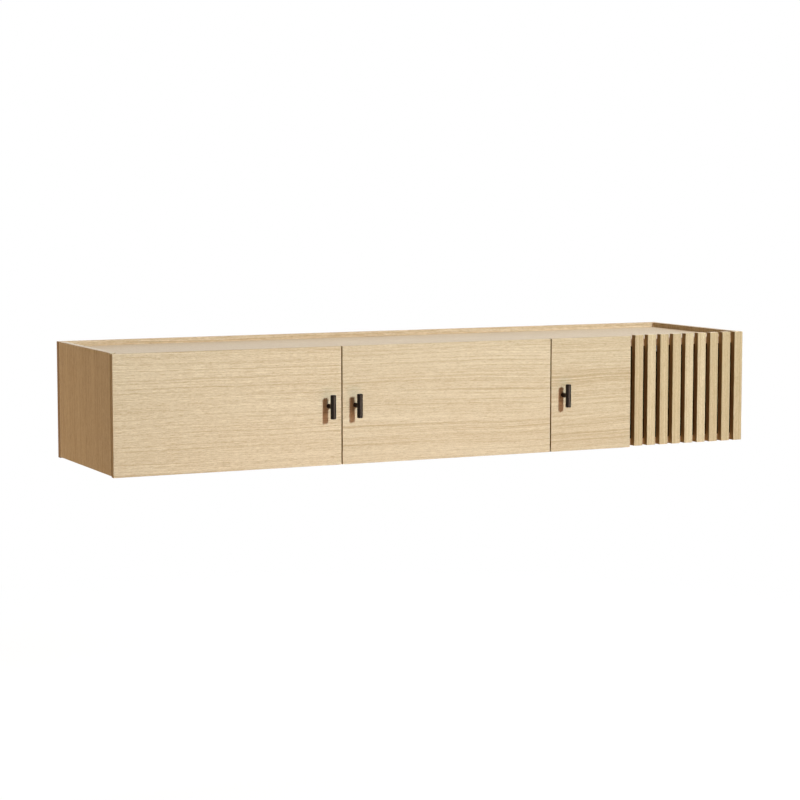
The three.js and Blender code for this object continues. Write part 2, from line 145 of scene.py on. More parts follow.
# Cable holes
CABLE_HOLE_RADIUS = 30 * MM
GROMMET_RADIUS = 29.7 * MM
GROMMET_WALL = 2 * MM
GROMMET_LIP = 2 * MM
GROMMET_ROUND = 1.6 * MM

# Veneer: how fine each pattern is along the grain and across it, and its detail
GRAIN = {
    "band": (0.7, 14.0, 2.0),
    "vein": (1.4, 150.0, 2.0),
    "line": (1.5, 380.0, 2.0),
    "dash": (30.0, 480.0, 2.0),
    "fleck": (90.0, 620.0, 2.0),
    "pore": (190.0, 1400.0, 1.0),
    "hair": (0.9, 230.0, 1.0),
}
SATIN_TONE = 0.95  # an edge band paler than this has a glossier lacquer

# Photograph's camera, in the row frame: metres, then degrees, then millimetres
CAMERA_PLACE = (-2.5653, -5.5062, 0.5617)
CAMERA_YAW = 25.637
CAMERA_PITCH = 5.659
CAMERA_LENS = 99.943
CAMERA_SENSOR = 36.0
CAMERA_REACH = 200.0

# Studio. A lamp has a place, a size across and up, and the light it gives a card.
FLOOR_Z = -1.05
FLOOR_COLOUR = (0.24, 0.16, 0.09, 1.0)
WHITE = (1.0, 1.0, 1.0, 1.0)
FLOOR_HALF = 60.0
FLOOR_SHADE = 0.2
FLOOR_LIGHT = 0.52
SHADE_REACH = (1.2, 3.2)
AMBIENT = (0.05, 0.028, 0.008)
LAMPS = {
    "key": ((1.6, -6.7, 2.65), (0.75, 0.75), (0.69, 0.853, 0.938)),
    "low_fill": ((0.0, -2.1, -0.85), (1.9, 0.4), (0.225, 0.127, 0.092)),
    "overhead": ((0.7, -0.3, 4.4), (1.6, 1.6), (0.4, 0.365, 0.355)),
    "left_fill": ((-2.8, 0.5, -0.35), (1.3, 1.3), (0.173, 0.126, 0.069)),
    "rear_fill": ((1.8, 3.6, 0.3), (1.6, 1.6), (0.52, 0.46, 0.40)),
    "glint": ((0.85, -3.5, -0.3), (1.0, 1.0), (0.6, 0.54, 0.47)),
}
LAMP_TARGET = (0.0, -0.25, 0.0)

X, Y, Z = 0, 1, 2

# Shapes already made for a kind of fitting, with the place of the first one
SHARED_SHAPES = {}


def srgb(red, green, blue):
    """Linear values of a colour given as screen levels from 0 to 255: a straight foot,
    then a power of 2.4."""
    level = np.array([red, green, blue]) / 255
    low = level / 12.92
    high = ((level + 0.055) / 1.055) ** 2.4
    return (*np.where(level <= 0.04045, low, high), 1.0)


# Oak: the deep and the light parts of its figure, each in the darkest and palest veneer
OAK_DEEP = (srgb(145, 109, 60), srgb(214, 186, 147))
OAK_LIGHT = (srgb(188, 157, 104), srgb(251, 233, 203))
OAK_PORE = srgb(150, 117, 76)
# Painted shade: a dark joint line for the shadow in the gap where the sides meet the back
JOINT_SHADE_BROWN = srgb(80, 52, 26)
# Painted shade: near-black colours for the faces inside the bay behind the slats
PAINTED_BAY_SHADE = (srgb(18, 9, 3), srgb(30, 16, 6))

# Fittings
COATING = (srgb(11, 5, 3), srgb(20, 10, 6))
PLASTIC = (srgb(26, 26, 27), srgb(42, 42, 43))
NICKEL = srgb(205, 203, 198)
ZINC = srgb(188, 192, 196)
BRIGHT_PLATING = srgb(232, 233, 232)


class Term:
    """A value on its way through a finish's nodes. Arithmetic on it adds Math nodes."""

    def __init__(self, finish, socket):
        self.finish = finish
        self.socket = socket

    def out(self, name):
        return Term(self.finish, self.socket.node.outputs[name])

    def math(self, operation, first, second=0.0):
        return self.finish.add("ShaderNodeMath", {"operation": operation}, {0: first, 1: second})

    def __add__(self, other):
        return self.math("ADD", self, other)

    def __sub__(self, other):
        return self.math("SUBTRACT", self, other)

    def __rsub__(self, other):
        return self.math("SUBTRACT", other, self)

    def __mul__(self, other):
        return self.math("MULTIPLY", self, other)

    def __gt__(self, other):
        return self.math("GREATER_THAN", self, other)

    def __lt__(self, other):
        return self.math("LESS_THAN", self, other)

    def between(self, low, high):
        """0 below low, 1 above high and a smooth step from one to the other."""
        settings = {"interpolation_type": "SMOOTHSTEP"}
        inputs = {"Value": self, "From Min": low, "From Max": high}
        return self.finish.add("ShaderNodeMapRange", settings, inputs)

    __radd__ = __add__
    __rmul__ = __mul__


class Finish:
    """The nodes of one material or world."""

    def __init__(self, owner):
        owner.use_nodes = True
        self.owner = owner
        self.tree = owner.node_tree

    def add(self, kind, settings=None, inputs=None, output=0):
        """Adds a node, makes its settings, feeds its inputs and returns one output."""
        node = self.tree.nodes.new(kind)
        for name, value in (settings or {}).items():
            setattr(node, name, value)
        for name, value in (inputs or {}).items():
            self.feed(node.inputs[name], value)
        return Term(self, node.outputs[output])

    def feed(self, socket, value):
        if isinstance(value, Term):
            self.tree.links.new(value.socket, socket)
        else:
            socket.default_value = value

    def surface(self, **values):
        """Feeds the sockets of the material's own shader; Base_Color stands for Base Color."""
        shader = self.tree.nodes["Principled BSDF"]
        for name, value in values.items():
            self.feed(shader.inputs[name.replace("_", " ")], value)

    def blend(self, share, first, second):
        """The colour that lies share of the way from the first colour to the second."""
        node = self.tree.nodes.new("ShaderNodeMix")
        node.data_type = "RGBA"
        self.feed(node.inputs[0], share)
        self.feed(node.inputs[6], first)
        self.feed(node.inputs[7], second)
        return Term(self, node.outputs[2])

    def noise(self, x, y, z, detail=2.0, rough=0.5):
        place = self.add("ShaderNodeCombineXYZ", None, {0: x, 1: y, 2: z})
        inputs = {"Vector": place, "Scale": 1.0, "Detail": detail, "Roughness": rough}
        return self.add("ShaderNodeTexNoise", None, inputs)

    def place(self):
        """The x, y and z of the point that is coloured."""
        place = self.add("ShaderNodeTexCoord", None, None, "Object")
        parts = self.add("ShaderNodeSeparateXYZ", None, {0: place})
        return parts.out("X"), parts.out("Y"), parts.out("Z")

    def inside(self, low, high):
        """1 inside a box of the shared frame and 0 outside it."""
        within = 1.0
        for value, least, most in zip(self.place(), low, high):
            within = (value > least) * (value < most) * within
        return within

    def relief(self, height, depth, strength):
        inputs = {"Height": height, "Distance": depth, "Strength": strength}
        return self.add("ShaderNodeBump", None, inputs)


def material(name):
    return Finish(bpy.data.materials.new(name))


def slat_bay():
    """Lowest and highest corner of the space behind the slats, with its walls' faces."""
    margin = 0.5 * MM
    divider_low, divider_high = corners_of("divider_2")
    side_low, side_high = corners_of("right_side_panel")
    low = (divider_high[X] - margin, divider_low[Y] + 2 * margin, divider_low[Z] - 2 * margin)
    high = (side_low[X] + margin, side_high[Y] + 2 * margin, divider_high[Z] + 2 * margin)
    return low, high


def rear_joint_shade(finish):
    """1 on the line where the sides' outer faces meet the back panel, where a dark joint line is
    painted as the shade of the narrow gap there, and 0 elsewhere.
    """
    joint = corners_of("back_panel")[0][Y]
    left, right = corners_of("left_side_panel")[0][X], corners_of("right_side_panel")[1][X]
    x, y, _ = finish.place()
    outside = (x < left + MM / 2) + (x > right - MM / 2)
    return outside * (y > joint - JOINT_SHADE_WIDTH) * (y < joint + JOINT_SHADE_WIDTH / 2)


def oak(name, roughness, gloss, flecks=1.08, stain=(1.0, 1.0, 1.0)):
    """Oak veneer on the pieces' own grain attribute: x metres along the grain, y across
    it and z a number for each face. The tone is a sum of noises drawn out along the
    grain, from long lines to short flecks, with open pores, over the board's own tone.
    Flecks is the strength of the short marks, and stain a colour over the whole. Inside the bay
    behind the slats the faces carry painted shade: a near-black colour and a rougher gloss."""
    finish = material(name)
    grain = finish.add("ShaderNodeAttribute", {"attribute_name": "grain"}, None, "Vector")
    parts = finish.add("ShaderNodeSeparateXYZ", None, {0: grain})
    along, straight, face = parts.out("X"), parts.out("Y"), parts.out("Z")
    drift = finish.noise(along * 1.2, straight * 3.0, face, 1.0)
    wander = finish.noise(along * 6.0, straight * 14.0, face, 1.0)
    across = straight + (drift - 0.5) * 0.035 + (wander - 0.5) * 0.006

    def pattern(kind, shift=0.0):
        fine_along, fine_across, detail = GRAIN[kind]
        return finish.noise(along * fine_along, across * fine_across, face + shift, detail)

    line, fleck = pattern("line"), pattern("fleck")
    hair = pattern("hair", 7.0).between(0.54, 0.68)
    open_pore = pattern("pore").between(0.56, 0.7)
    broad = (pattern("band") - 0.5) * 0.4 + (pattern("vein") - 0.5) * 0.4
    ticks = (pattern("dash") - 0.5) * 1.1 + (fleck - 0.5) * 1.2
    tone = broad - (hair - 0.08) * 0.3 + (line - 0.5) * 0.95 + ticks * flecks
    pale = finish.add("ShaderNodeAttribute", {"attribute_name": "tone"}, None, "Fac")
    deep = finish.blend(pale, *OAK_DEEP)
    light = finish.blend(pale, *OAK_LIGHT)
    wood = finish.blend(tone + 0.5, deep, light)
    wood = finish.add("ShaderNodeVectorMath", {"operation": "MULTIPLY"}, {0: wood, 1: stain})
    wood = finish.blend(open_pore * 0.35, wood, OAK_PORE)
    # Painted shade: inside the bay behind the slats the faces turn near black and rougher
    bay = finish.inside(*slat_bay())
    wood = finish.blend(bay, wood, finish.blend(line, *PAINTED_BAY_SHADE))
    # Painted shade: a dark line along the joint of the sides and the back panel
    wood = finish.blend(rear_joint_shade(finish) * 0.6, wood, JOINT_SHADE_BROWN)
    relief = finish.relief(fleck * 0.5 - open_pore * 0.8, 0.12 * MM, 0.3)
    satin_edge = pale > SATIN_TONE
    rough = (line - 0.5) * 0.16 + open_pore * 0.1 + roughness - satin_edge * 0.24 + bay * 0.4
    finish.surface(Base_Color=wood, Roughness=rough, Normal=relief, Specular_IOR_Level=gloss)
    return finish.owner


def black_coating():
    """Satin black-brown coating on steel, with a faint cloud in its gloss."""
    finish = material("black_coating")
    x, y, z = finish.place()
    cloud = finish.noise(x * 300.0, y * 300.0, z * 90.0)
    speck = finish.noise(x * 2600.0, y * 2600.0, z * 2600.0)
    colour = finish.blend(cloud, *COATING)
    relief = finish.relief(speck, 0.03 * MM, 0.2)
    gloss = (cloud - 0.5) * 0.1 + 0.31
    finish.surface(Base_Color=colour, Roughness=gloss, Normal=relief, Specular_IOR_Level=0.2,
                   Specular_Tint=(1.0, 0.85, 0.74, 1.0))
    return finish.owner


def plated(name, tint, gloss):
    """Plated sheet steel: fine drawn lines and slow clouds in its gloss."""
    finish = material(name)
    x, y, z = finish.place()
    cloud = finish.noise(x * 120.0, y * 120.0, z * 120.0)
    line = finish.noise(x * 2200.0, y * 90.0, z * 2200.0)
    colour = finish.blend(cloud, tint, BRIGHT_PLATING)
    relief = finish.relief(line, 0.02 * MM, 0.15)
    rough = (cloud - 0.5) * 0.2 + (line - 0.5) * 0.1 + gloss
    finish.surface(Base_Color=colour, Roughness=rough, Normal=relief, Metallic=1.0)
    return finish.owner


def moulded_black():
    """Black moulded plastic with a fine spark-eroded grain."""
    finish = material("moulded_black")
    x, y, z = finish.place()
    speck = finish.noise(x * 1500.0, y * 1500.0, z * 1500.0)
    colour = finish.blend(speck, *PLASTIC)
    relief = finish.relief(speck, 0.05 * MM, 0.5)
    finish.surface(Base_Color=colour, Roughness=speck * 0.2 + 0.45, Normal=relief)
    return finish.owner


def mesh_piece(name, points, faces):
    """A mesh object whose doubled points are merged and whose faces point outwards."""
    mesh = bpy.data.meshes.new(name)
    mesh.from_pydata(points.reshape(-1, 3).tolist(), [], faces.tolist())
    work = bmesh.new()
    work.from_mesh(mesh)
    bmesh.ops.remove_doubles(work, verts=work.verts, dist=DOUBLED)
    bmesh.ops.holes_fill(work, edges=work.edges, sides=0)
    bmesh.ops.recalc_face_normals(work, faces=work.faces)
    work.to_mesh(mesh)
    work.free()
    piece = bpy.data.objects.new(name, mesh)
    bpy.context.scene.collection.objects.link(piece)
    return piece


def grid_faces(rows, columns):
    """Quads of a grid whose columns close on themselves."""
    row, column = np.meshgrid(np.arange(rows - 1), np.arange(columns), indexing="ij")
    after = (column + 1) % columns
    quads = [row * columns + column, row * columns + after, (row + 1) * columns + after]
    return np.stack([*quads, (row + 1) * columns + column], -1).reshape(-1, 4)


def board_surface(low, high, arris):
    """Points of a board with eased arrises, by longitude a and latitude b: the inner
    box's corner that the direction (cos b cos a, cos b sin a, sin b) faces, plus the
    arris radius times that direction. A quarter turn of a, or half of b, has one corner."""
    quarter = np.linspace(0, math.pi / 2, ARRIS_STEPS + 1)
    a = (np.arange(4)[:, None] * math.pi / 2 + quarter).ravel()
    b = np.concatenate([quarter - math.pi / 2, quarter])
    side_x = np.repeat([1, -1, -1, 1], ARRIS_STEPS + 1)
    side_y = np.repeat([1, 1, -1, -1], ARRIS_STEPS + 1)
    side_z = np.repeat([-1, 1], ARRIS_STEPS + 1)
    b, a = np.meshgrid(b, a, indexing="ij")
    direction = np.stack([np.cos(b) * np.cos(a), np.cos(b) * np.sin(a), np.sin(b)], -1)
    shape = a.shape
    corner = np.stack(
        [
            np.broadcast_to(side_x, shape),
            np.broadcast_to(side_y, shape),
            np.broadcast_to(side_z[:, None], shape),
        ],
        -1,
    )
    middle = (low + high) / 2
    inner = (high - low) / 2 - arris
    return middle + corner * inner + direction * arris


def board_shape(name, low, high, arris):
    points = board_surface(np.array(low), np.array(high), arris)
    return mesh_piece(name, points, grid_faces(*points.shape[:2]))


def turned_surface(profile, centre, axis, sides):
    """Points of a turned surface: a profile of (radius, distance along the axis) points
    carried round the axis, each at centre + along * axis + radius * (cos t, sin t)."""
    radius, along = np.array(profile).T
    turn = np.linspace(0, 2 * math.pi, sides, endpoint=False)
    first, second = [np.eye(3)[(axis + step) % 3] for step in (1, 2)]
    ring = np.cos(turn)[:, None] * first + np.sin(turn)[:, None] * second
    line = np.eye(3)[axis]
    return np.array(centre) + along[:, None, None] * line + radius[:, None, None] * ring


def turned_shape(name, profile, centre, axis, sides=TURNED_SIDES):
    points = turned_surface(profile, centre, axis, sides)
    return mesh_piece(name, points, grid_faces(*points.shape[:2]))


def rounded_end(radius, end, fillet, outward, steps=6):
    """Profile points from a turned piece's side round its end to the axis."""
    t = np.linspace(0, math.pi / 2, steps)
    r = radius - fillet * (1 - np.cos(t))
    along = end - outward * fillet * (1 - np.sin(t))
    return [*zip(r, along), (0.0, end)]


def eased_oblong(width, height, ease):
    """Two rows of coordinates round an oblong with eased corners: the inner oblong's
    corner that the angle a faces, plus the easing radius times (cos a, sin a)."""
    quarter = np.linspace(0, math.pi / 2, ARRIS_STEPS + 1)
    a = (np.arange(4)[:, None] * math.pi / 2 + quarter).ravel()
    side_u = np.repeat([1, -1, -1, 1], ARRIS_STEPS + 1)
    side_v = np.repeat([1, 1, -1, -1], ARRIS_STEPS + 1)
    u = side_u * (width / 2 - ease) + ease * np.cos(a)
    v = side_v * (height / 2 - ease) + ease * np.sin(a)
    return u, v


def band_surface(path, axis, thick, width, ease):
    """Points of a bent band: an eased oblong carried along a path, each at path + u *
    normal + v * line, where line is the axis that the width lies along and the normal is
    square to both the path and that line."""
    path = np.array(path)
    way = np.gradient(path, axis=0)
    way /= np.linalg.norm(way, axis=1)[:, None]
    line = np.eye(3)[axis]
    normal = np.cross(way, line)
    u, v = eased_oblong(thick, width, ease)
    return path[:, None] + u[:, None] * normal[:, None] + v[:, None] * line


def band_shape(name, path, axis, thick, width, ease=BAND_ARRIS):
    points = band_surface(path, axis, thick, width, ease)
    return mesh_piece(name, points, grid_faces(*points.shape[:2]))


def bend(corner, inward, outward, radius, steps=8):
    """A quarter circle where a path turns at a corner from one direction to another: its
    centre + radius * (sin t * inward - cos t * outward)."""
    inward, outward = np.array(inward), np.array(outward)
    t = np.linspace(0, math.pi / 2, steps)[:, None]
    centre = np.array(corner) + radius * (outward - inward)
    return [*(centre + radius * (np.sin(t) * inward - np.cos(t) * outward))]


def combine(piece, other, operation):
    """Joins the other piece's solid to this one, or keeps what both share, or takes the
    other's away, and removes the other piece and any edge too short to see."""
    step = piece.modifiers.new("combine", "BOOLEAN")
    step.operation = operation
    step.solver = "EXACT"
    step.object = other
    bake(piece)
    bpy.data.objects.remove(other)
    work = bmesh.new()
    work.from_mesh(piece.data)
    bmesh.ops.dissolve_degenerate(work, edges=work.edges, dist=SHORTEST_EDGE)
    work.to_mesh(piece.data)
    work.free()


def cut(piece, cutter):
    combine(piece, cutter, "DIFFERENCE")


def join(piece, other):
    combine(piece, other, "UNION")


def bake(piece):
    """Replaces the piece's mesh by its evaluated one, and drops the modifiers."""
    graph = bpy.context.evaluated_depsgraph_get()
    done = bpy.data.meshes.new_from_object(piece.evaluated_get(graph))
    piece.modifiers.clear()
    piece.data = done


def soft_shading(piece):
    """Smooth curved faces, flat faces that look flat, and crisp corners."""
    piece.data.shade_smooth()
    piece.data.set_sharp_from_angle(angle=math.radians(CRISP_ANGLE))
    weights = piece.modifiers.new("flat faces stay flat", "WEIGHTED_NORMAL")
    weights.keep_sharp = True
    weights.weight = 100
    bake(piece)


def lay_grain(piece, grain_axis, number, tones):
    """Writes the grain attribute on each face corner: metres along the grain, metres
    across it and the face's number, which keeps the figures of two faces apart. On a
    face that the grain runs into, it follows the face's longer side, as edge banding
    does. The tone attribute is that of the axis which the face looks along."""
    mesh = piece.data
    points = np.zeros(len(mesh.vertices) * 3)
    mesh.vertices.foreach_get("co", points)
    points = points.reshape(-1, 3)
    normals = np.zeros(len(mesh.polygons) * 3)
    mesh.polygons.foreach_get("normal", normals)
    normals = normals.reshape(-1, 3)
    corners = np.zeros(len(mesh.loops), int)
    mesh.loops.foreach_get("vertex_index", corners)
    counts = np.zeros(len(mesh.polygons), int)
    mesh.polygons.foreach_get("loop_total", counts)
    facing = np.abs(normals).argmax(1)
    size = np.ptp(points, axis=0)
    longer = np.array([max({X, Y, Z} - {axis}, key=lambda k: size[k]) for axis in range(3)])
    along = np.where(facing == grain_axis, longer[facing], grain_axis)
    across = 3 - facing - along
    way = np.sign(np.take_along_axis(normals, facing[:, None], 1)[:, 0])
    face = number * 4.3 + facing * 1.7 + way * 0.6
    of_face = np.repeat(np.arange(len(counts)), counts)
    row = np.arange(len(corners))
    place = points[corners]
    value = np.stack([place[row, along[of_face]], place[row, across[of_face]], face[of_face]], -1)
    grain = mesh.attributes.new("grain", "FLOAT_VECTOR", "CORNER")
    grain.data.foreach_set("vector", value.astype(np.float32).ravel())
    level = np.array(tones)[facing][of_face]
    shade = mesh.attributes.new("tone", "FLOAT", "CORNER")
    shade.data.foreach_set("value", level.astype(np.float32))


def settle(piece, node, finish):
    """The piece stands for the node: it rides on its body and a finish."""
    record = frame["record"]
    bodies = record["behaviour"]["bodies"]
    body = next(name for name, members in bodies.items() if node in members)
    piece.data.materials.clear()
    piece.data.materials.append(finish)
    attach(piece, body)
    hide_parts(node)


def corners_of(node):
    low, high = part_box(node)
    return np.array(low), np.array(high)


def centre_of(node):
    low, high = corners_of(node)
    return (low + high) / 2


def dress_board(node, grain_axis, number, tones, finish, arris=BOARD_ARRIS, cutters=()):
    """A veneered board with eased arrises. Its tones are those of the faces that look along X, Y
    and Z, since its edge bands are of other veneer than its faces; the low tones of the slats'
    sides and of the doors' edges in their joints are partly painted shade."""
    low, high = corners_of(node)
    piece = board_shape("veneered_" + node, low, high, arris)
    for cutter in cutters:
        cut(piece, cutter)
    soft_shading(piece)
    lay_grain(piece, grain_axis, number, tones)
    settle(piece, node, finish)


def round_cutter(radius, start, end, centre, axis):
    profile = [(0, start), (radius, start), (radius, end), (0, end)]
    return turned_shape("cutter", profile, centre, axis)


def door_cutters(door):
    """Two cup bores and the knob's screw hole, placed from the hinges' pins and the knob."""
    low, high = corners_of(door + "_panel")
    cutters = []
    for place in ("lower", "upper"):
        pin = centre_of(f"{door}_{place}_hinge_pin")
        hand = math.copysign(1, (low + high)[X] / 2 - pin[X])
        centre = (pin[X] + hand * (BORE_RADIUS - PIVOT_INSET), 0, pin[Z])
        depth = (high[Y] - BORE_DEPTH, high[Y] + CUT_OVERRUN)
        cutters.append(round_cutter(BORE_RADIUS, *depth, centre, Y))
    screw_low, screw_high = corners_of(door + "_knob_screw")
    middle = (screw_low + screw_high) / 2
    through = (low[Y] - CUT_OVERRUN, high[Y] + CUT_OVERRUN)
    hole = round_cutter(KNOB_SCREW_HOLE_RADIUS, *through, (middle[X], 0, middle[Z]), Y)
    cutters.append(hole)
    return cutters


def back_cutters():
    """Cable holes, and the recesses and slots for the hangers and their wall plates."""
    low, high = corners_of("back_panel")
    through = (low[Y] - CUT_OVERRUN, high[Y] + CUT_OVERRUN)
    cutters = []
    for bay in (1, 2, 3):
        middle = centre_of(f"cable_grommet_{bay}")
        hole = round_cutter(CABLE_HOLE_RADIUS, *through, (middle[X], 0, middle[Z]), Y)
        cutters.append(hole)
    for side in ("left", "right"):
        plate_low, plate_high = corners_of(side + "_wall_plate")
        middle = centre_of(side + "_hanger")
        top = plate_high[Z] + RECESS_RISE
        recess_low = plate_low - RECESS_MARGIN
        recess_high = (plate_high[X] + RECESS_MARGIN, through[1], top)
        cutters.append(board_shape("cutter", recess_low, recess_high, CUTTER_ARRIS))
        half = HOOK_HALF + RECESS_MARGIN
        slot_low = (middle[X] - half, through[0], top - HOOK_SLOT_HEIGHT)
        slot_high = (middle[X] + half, through[1], top)
        cutters.append(board_shape("cutter", slot_low, slot_high, CUTTER_ARRIS))
    return cutters


def span_board(name, x, y, z, ease):
    """A board with eased arrises between two values on each axis, in either order."""
    ends = np.sort(np.array([x, y, z]), axis=1)
    return board_shape(name, *ends.T, ease)


def drive_recess(piece, place, axis, size):
    """Sinks a cross recess into a screw's head: two narrow slots that cross at a place."""
    for slot_axis in {X, Y, Z} - {axis}:
        half = np.full(3, size * DRIVE_HALF_WIDTH)
        half[slot_axis] = size * DRIVE_HALF_LENGTH
        half[axis] = size * DRIVE_DEPTH
        cut(piece, board_shape("cutter", place - half, place + half, CUTTER_ARRIS / 2))


def domed_head(radius, start, height, outward):
    """Profile of a screw's head from its foot, round a dome, to the axis."""
    t = np.linspace(0, math.pi / 2, 7)
    r = radius * (1 - DOME_NARROWING * (1 - np.cos(t)))
    along = start + outward * height * (DOME_EDGE + (1 - DOME_EDGE) * np.sin(t))
    return [(0.0, start), (radius, start), *zip(r, along), (0.0, start + outward * height)]


def shared_shape(name, place, make, *kind):
    """The piece that make gives for this kind of fitting at a place, softly shaded, or
    the first one's shape moved by the way from its place to this one."""
    key = (make, *kind)
    if key not in SHARED_SHAPES:
        first = make(name, place, *kind)
        soft_shading(first)
        SHARED_SHAPES[key] = first.data, np.array(place)
        return first
    shape, start = SHARED_SHAPES[key]
    mesh = shape.copy()
    mesh.transform(Matrix.Translation(np.array(place) - start))
    piece = bpy.data.objects.new(name, mesh)
    bpy.context.scene.collection.objects.link(piece)
    return piece


def screw_head(name, place, axis, outward, radius, height):
    """A domed head with a cross recess, which sits on a surface at a place."""
    centre = np.where(np.arange(3) == axis, 0, place)
    profile = domed_head(radius, place[axis], height, outward)
    head = turned_shape(name, profile, centre, axis, SMALL_SIDES)
    drive_recess(head, place + np.eye(3)[axis] * outward * height, axis, radius)
    return head


def add_screw(name, place, axis, outward, radius, height, body, metal, slot):
    """Sets a screw head on a surface at a place."""
    head = shared_shape(name, place, screw_head, axis, outward, radius, height)
    head.data.materials.clear()
    head.data.materials.append(metal)
    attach(head, body)


def hinge_frame(hinge):
    """The pin's centre, and 1 where the carcass side of the hinge is at larger x, else -1."""
    pin = centre_of(hinge + "_pin")
    return pin, math.copysign(1, centre_of(hinge + "_arm")[X] - pin[X])


def hinge_arm(name, pin, hand, outer, rear, half):
    """A steel band with an eye rolled round the pin, bent back along the mounting plate.
    The last three values are measured from the pin: the band's outer face, its rear end
    and half its width."""
    middle = pin[X] + outer - hand * ARM_THICK / 2
    end = pin[Y] + rear
    corner = (middle, pin[Y], pin[Z])
    turn = bend(corner, (hand, 0, 0), (0, 1, 0), ARM_BEND)
    path = [pin, *turn, np.array((middle, end, pin[Z]))]
    arm = band_shape(name, path, Z, ARM_THICK, 2 * half)
    low, high = pin[Z] - half, pin[Z] + half
    axis = (pin[X], pin[Y], 0)
    eye = [(0, low), (EYE_RADIUS, low), (EYE_RADIUS, high), (0, high)]
    join(arm, turned_shape("eye", eye, axis, Z, SMALL_SIDES))
    cut(arm, round_cutter(PIN_HOLE_RADIUS, low - CUT_OVERRUN, high + CUT_OVERRUN, axis, Z))
    stud = (0, end - STUD_FROM_END, pin[Z])
    bore = (middle - CUT_OVERRUN, middle + CUT_OVERRUN)
    cut(arm, round_cutter(STUD_RADIUS + SEAT, *bore, stud, X))
    return arm


def dress_hinge_arm(hinge, metal):
    """The arm, and the screw on it that sets the door sideways."""
    pin, hand = hinge_frame(hinge)
    low, high = corners_of(hinge + "_arm")
    outer = high[X] if hand > 0 else low[X]
    from_pin = np.round([outer - pin[X], high[Y] - pin[Y], high[Z] - pin[Z]], 6)
    arm = shared_shape(hinge + "_arm_band", pin, hinge_arm, hand, *from_pin)
    settle(arm, hinge + "_arm", metal)
    place = np.array((outer, high[Y] - ADJUSTER_FROM_END, pin[Z]))
    screw = (X, hand, *ADJUSTER_HEAD)
    add_screw(hinge + "_adjuster", place, *screw, "carcass", metal, "nickel_steel")


def hinge_plate(name, pin, hand, back, face, tip, start, end, half, stud_y):
    """A plate with eased edges and a headed stud on it. All but the hand are measured
    from the pin: the plate's two faces, the stud's tip, the plate's front and rear ends,
    half its height, and the stud's axis."""
    back, face, tip = pin[X] + np.array([back, face, tip])
    start, end, stud_y = pin[Y] + np.array([start, end, stud_y])
    rise = (pin[Z] - half, pin[Z] + half)
    plate = span_board(name, (back, face), (start, end), rise, PLATE_ARRIS)
    head_start = tip - hand * STUD_HEAD_HEIGHT
    head = domed_head(STUD_HEAD_RADIUS, head_start, STUD_HEAD_HEIGHT, hand)
    shank = [(0, (back + face) / 2), (STUD_RADIUS, (back + face) / 2), (STUD_RADIUS, head_start)]
    centre = np.array((0, stud_y, pin[Z]))
    stud = turned_shape("stud", [*shank, *head[1:]], centre, X, SMALL_SIDES)
    drive_recess(stud, centre + (tip, 0, 0), X, STUD_HEAD_RADIUS)
    join(plate, stud)
    return plate


def dress_hinge_plate(hinge, metal):
    """The mounting plate and its two screws."""
    pin, hand = hinge_frame(hinge)
    low, high = corners_of(hinge + "_plate")
    arm_low, arm_high = corners_of(hinge + "_arm")
    back, tip = (low[X], high[X]) if hand > 0 else (high[X], low[X])
    arm_outer = arm_high[X] if hand > 0 else arm_low[X]
    face = arm_outer - hand * (ARM_THICK + SEAT)
    across = np.array([back, face, tip]) - pin[X]
    stud_y = arm_high[Y] - STUD_FROM_END
    deep = np.array([low[Y], high[Y], high[Z] - pin[Z] + pin[Y], stud_y]) - pin[Y]
    from_pin = np.round([*across, *deep], 6)
    plate = shared_shape(hinge + "_plate_body", pin, hinge_plate, hand, *from_pin)
    settle(plate, hinge + "_plate", metal)
    reach = (high - low)[Z] / 2 - PLATE_SCREW_INSET
    for index, side in enumerate((-1, 1)):
        place = np.array((face, (low + high)[Y] / 2, pin[Z] + side * reach))
        name = f"{hinge}_plate_screw_{index + 1}"
        screw = (X, hand, *PLATE_SCREW_HEAD)
        add_screw(name, place, *screw, "carcass", metal, "nickel_steel")


def cup_profile(floor, seat, rim):
    """The cup's shell from its floor's middle outside, over the flange, to the middle
    inside, with rounded corners as pressed steel has."""
    outer = BORE_RADIUS - SEAT
    inner = outer - CUP_WALL
    flange = BORE_RADIUS + FLANGE_RIM
    t = np.linspace(0, math.pi / 2, 6)
    out_foot = zip(outer - CUP_FILLET * (1 - np.sin(t)), floor + CUP_FILLET * (1 - np.cos(t)))
    edge = zip(flange - CUP_LIP * (1 - np.cos(t)), rim - CUP_LIP * (1 - np.sin(t)))
    mouth = zip(inner + CUP_LIP * (1 - np.sin(t)), rim - CUP_LIP * (1 - np.cos(t)))
    fillet = CUP_FILLET - CUP_WALL
    inside = floor + CUP_WALL
    in_foot = zip(inner - fillet * (1 - np.cos(t)), inside + fillet * (1 - np.sin(t)))
    shell = [(0, floor), *out_foot, (outer, seat), (flange, seat), *edge, *mouth]
    return [*shell, *in_foot, (0, inside)]


